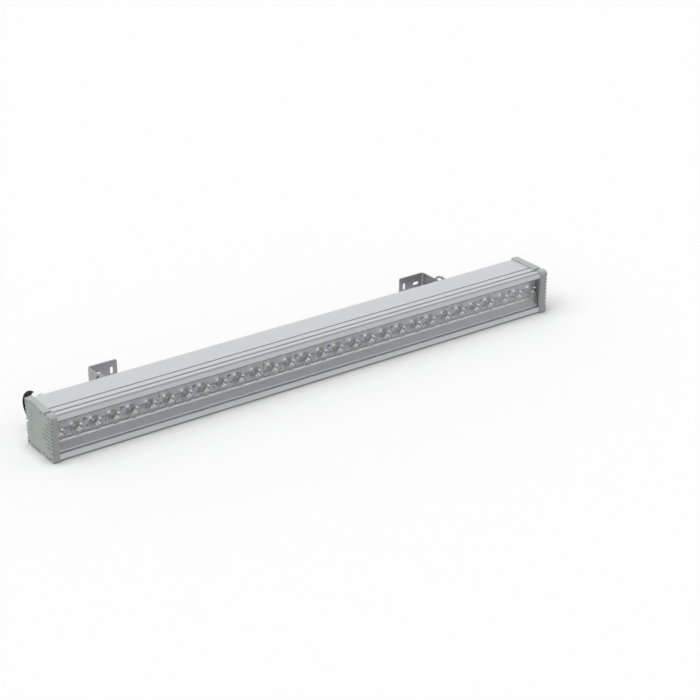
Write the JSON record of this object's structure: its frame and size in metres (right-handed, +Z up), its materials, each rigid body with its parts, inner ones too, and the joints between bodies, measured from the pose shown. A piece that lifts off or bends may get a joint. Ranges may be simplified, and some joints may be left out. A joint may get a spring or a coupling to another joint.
{
  "type": "linear wall washer light",
  "caption": "Long aluminium wall washer light with a glass front over lensed emitters, moulded end caps, a cable gland with a short lead, and tilting wall brackets that slide in a rear slot.",
  "frame": {"origin": "bottom centre of the light with its brackets, without the cord", "axes": "+X along the light away from the cable gland, -Y out of the glass front, +Y towards the wall, +Z up"},
  "size_m": [1.01, 0.172, 0.082],
  "materials": {
    "profile": "satin anodised",
    "glass": "clear",
    "seal": "matt",
    "cap": "moulded, satin",
    "screw": "plain",
    "board": "printed",
    "emitter": "glossy",
    "lens": "clear",
    "white_plastic": "satin",
    "driver_case": "satin",
    "cable": "matt sheath",
    "lead": "matt sheath",
    "bracket_sheet": "satin",
    "steel": "bright"
  },
  "bodies": {
    "lamp": {"body_profile": "profile", "glass_cover": "glass", "glass_seal_top": "seal", "glass_seal_bottom": "seal", "end_cap_left": "cap", "end_cap_right": "cap", "cap_gasket_left": "seal", "cap_gasket_right": "seal", "cap_screws_left": "screw", "cap_screws_right": "screw", "light_board_1": "board", "light_board_2": "board", "light_board_3": "board", "light_board_4": "board", "light_board_5": "board", "emitters_1": "emitter", "emitters_2": "emitter", "emitters_3": "emitter", "emitters_4": "emitter", "emitters_5": "emitter", "lenses_1": "lens", "lenses_2": "lens", "lenses_3": "lens", "lenses_4": "lens", "lenses_5": "lens", "board_connectors": "white_plastic", "driver": "driver_case", "driver_screws": "screw", "supply_lead": "cable", "output_lead": "lead", "gland_body": "white_plastic", "gland_cap_nut": "white_plastic", "gland_insert": "seal", "gland_seal": "seal", "mains_cable": "cable"},
    "slider_left": {"mount_plate_left": "bracket_sheet", "slot_nuts_left": "steel", "slot_bolts_left": "steel", "pivot_bolt_left": "steel", "pivot_nut_left": "steel"},
    "bracket_left": {"wall_bracket_left": "bracket_sheet", "lock_bolt_left": "steel", "lock_nut_left": "steel"},
    "slider_right": {"mount_plate_right": "bracket_sheet", "slot_nuts_right": "steel", "slot_bolts_right": "steel", "pivot_bolt_right": "steel", "pivot_nut_right": "steel"},
    "bracket_right": {"wall_bracket_right": "bracket_sheet", "lock_bolt_right": "steel", "lock_nut_right": "steel"}
  },
  "joints": [
    {"name": "slide_left", "type": "slide", "parent": "lamp", "child": "slider_left", "axis": [1, 0, 0], "range_m": [-0.02, 0.25]},
    {"name": "tilt_left", "type": "hinge", "parent": "slider_left", "child": "bracket_left", "pos_m": [-0.3535, 0.0295, 0.041], "axis": [1, 0, 0], "range_deg": [-80, 80]},
    {"name": "slide_right", "type": "slide", "parent": "lamp", "child": "slider_right", "axis": [1, 0, 0], "range_m": [-0.25, 0.11]},
    {"name": "tilt_right", "type": "hinge", "parent": "slider_right", "child": "bracket_right", "pos_m": [0.3535, 0.0295, 0.041], "axis": [1, 0, 0], "range_deg": [-80, 80]}
  ]
}
